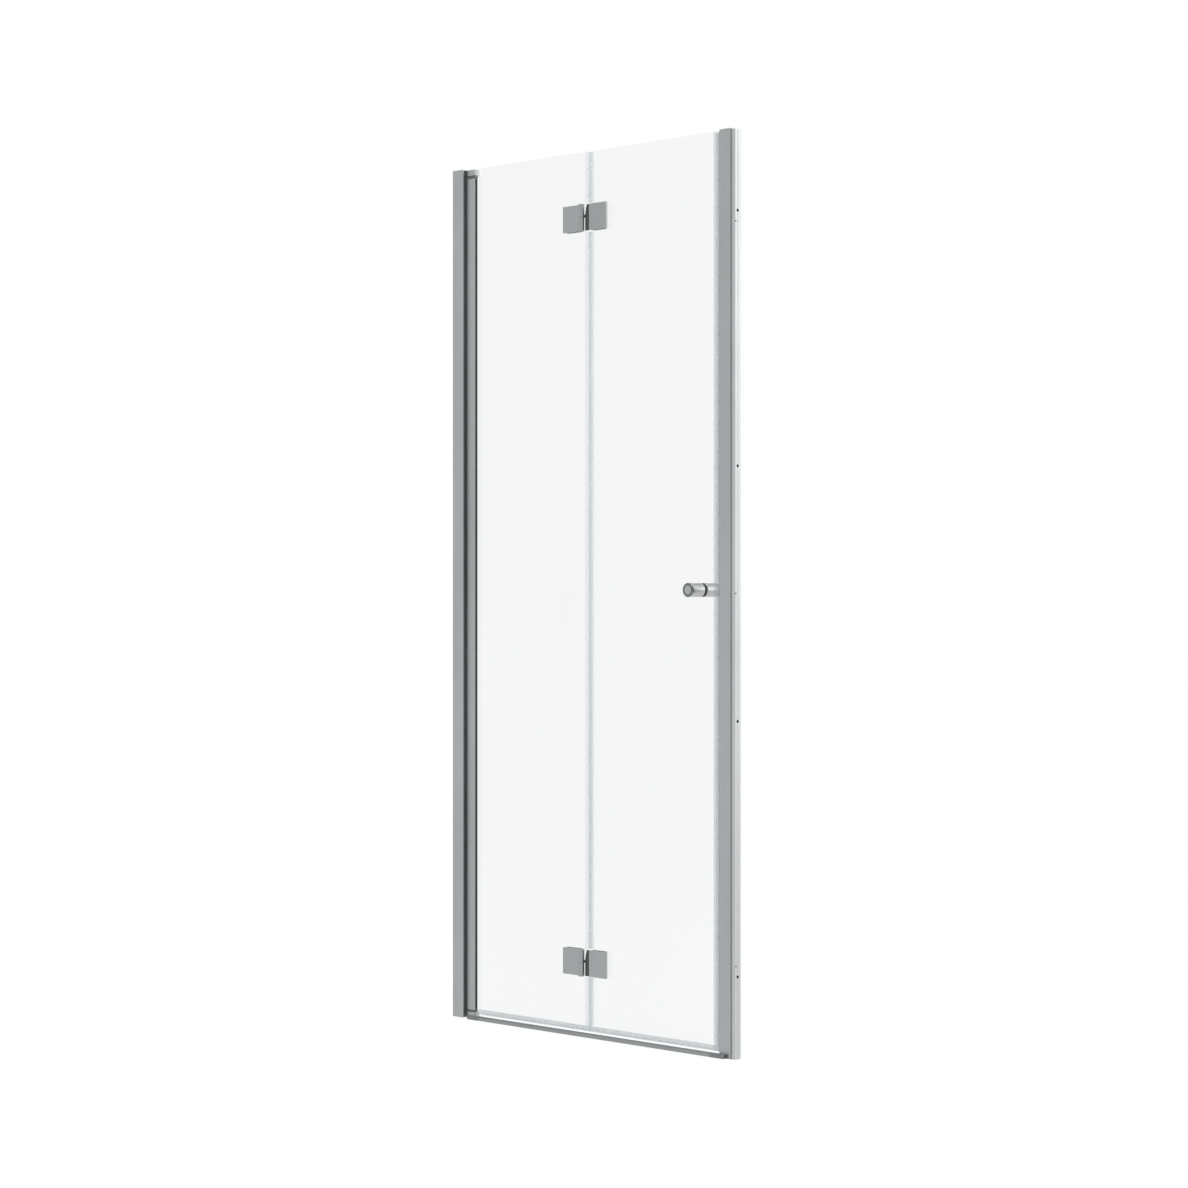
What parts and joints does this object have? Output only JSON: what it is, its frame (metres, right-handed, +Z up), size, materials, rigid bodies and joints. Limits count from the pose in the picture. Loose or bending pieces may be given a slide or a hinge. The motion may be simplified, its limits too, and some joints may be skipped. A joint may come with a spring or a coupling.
{
  "type": "bifold shower door",
  "caption": "Pivoting bifold shower door with clear glass leaves, satin aluminium jambs, glass fold hinges, a round knob and a low threshold bar.",
  "frame": {"origin": "on the floor, midway between the walls, in the middle plane of the closed glass", "axes": "+X from the hinge side wall to the closing side wall, +Y into the shower, +Z up"},
  "size_m": [0.9, 0.0846, 1.95],
  "materials": {
    "satin_aluminium": "satin anodised",
    "channel_aluminium": "satin anodised",
    "hinge_metal": "satin",
    "knob_metal": "satin chrome",
    "screw_steel": "satin",
    "clear_glass": "polished",
    "clear_seal": "clear vinyl",
    "black_rubber": "matt",
    "grey_plastic": "satin moulded",
    "dark_plastic": "matt moulded",
    "magnet_strip": "matt"
  },
  "bodies": {
    "frame": {"left_wall_channel": "channel_aluminium", "left_frame_profile": "satin_aluminium", "left_frame_cap": "satin_aluminium", "left_clamp_screws": "screw_steel", "left_screw_caps": "grey_plastic", "top_pivot_block": "satin_aluminium", "bottom_pivot_block": "satin_aluminium", "pivot_bushes": "grey_plastic", "pivot_block_screws": "screw_steel", "right_wall_channel": "channel_aluminium", "right_frame_profile": "satin_aluminium", "right_frame_cap": "satin_aluminium", "right_clamp_screws": "screw_steel", "right_screw_caps": "grey_plastic", "jamb_magnet_sleeve": "clear_seal", "jamb_magnet_core": "magnet_strip", "threshold_bar": "satin_aluminium", "threshold_left_cap": "grey_plastic", "threshold_right_cap": "grey_plastic"},
    "leaf_a": {"pivot_profile": "satin_aluminium", "pivot_gasket_outer": "black_rubber", "pivot_gasket_inner": "clear_seal", "pivot_setting_blocks": "grey_plastic", "top_pivot_pin": "screw_steel", "bottom_pivot_pin": "screw_steel", "top_pivot_cap": "dark_plastic", "bottom_pivot_cap": "dark_plastic", "glass_corner_pads": "clear_seal", "glass_a": "clear_glass", "bottom_seal_a": "clear_seal", "fold_seal_a": "clear_seal", "top_hinge_plate_a": "hinge_metal", "top_hinge_back_a": "hinge_metal", "top_hinge_pads_a": "clear_seal", "top_hinge_screws_a": "screw_steel", "bottom_hinge_plate_a": "hinge_metal", "bottom_hinge_back_a": "hinge_metal", "bottom_hinge_pads_a": "clear_seal", "bottom_hinge_screws_a": "screw_steel", "hinge_washers": "grey_plastic"},
    "leaf_b": {"glass_b": "clear_glass", "bottom_seal_b": "clear_seal", "fold_seal_b": "clear_seal", "closing_seal_b": "clear_seal", "closing_magnet_b": "magnet_strip", "top_hinge_plate_b": "hinge_metal", "top_hinge_back_b": "hinge_metal", "top_hinge_pads_b": "clear_seal", "top_hinge_screws_b": "screw_steel", "top_hinge_cover": "black_rubber", "bottom_hinge_plate_b": "hinge_metal", "bottom_hinge_back_b": "hinge_metal", "bottom_hinge_pads_b": "clear_seal", "bottom_hinge_screws_b": "screw_steel", "bottom_hinge_cover": "black_rubber", "hinge_pins": "screw_steel", "knob_outer": "knob_metal", "knob_inner": "knob_metal", "knob_gaskets": "black_rubber", "knob_stud": "screw_steel"}
  },
  "joints": [
    {"name": "leaf_a_pivot", "type": "hinge", "parent": "frame", "child": "leaf_a", "pos_m": [-0.407, 0, 0.975], "axis": [0, 0, 1], "range_deg": [0, 90]},
    {"name": "fold_hinge", "type": "hinge", "parent": "leaf_a", "child": "leaf_b", "pos_m": [-0.022, -0.0105, 0.9825], "axis": [0, 0, -1], "range_deg": [0, 170]}
  ]
}
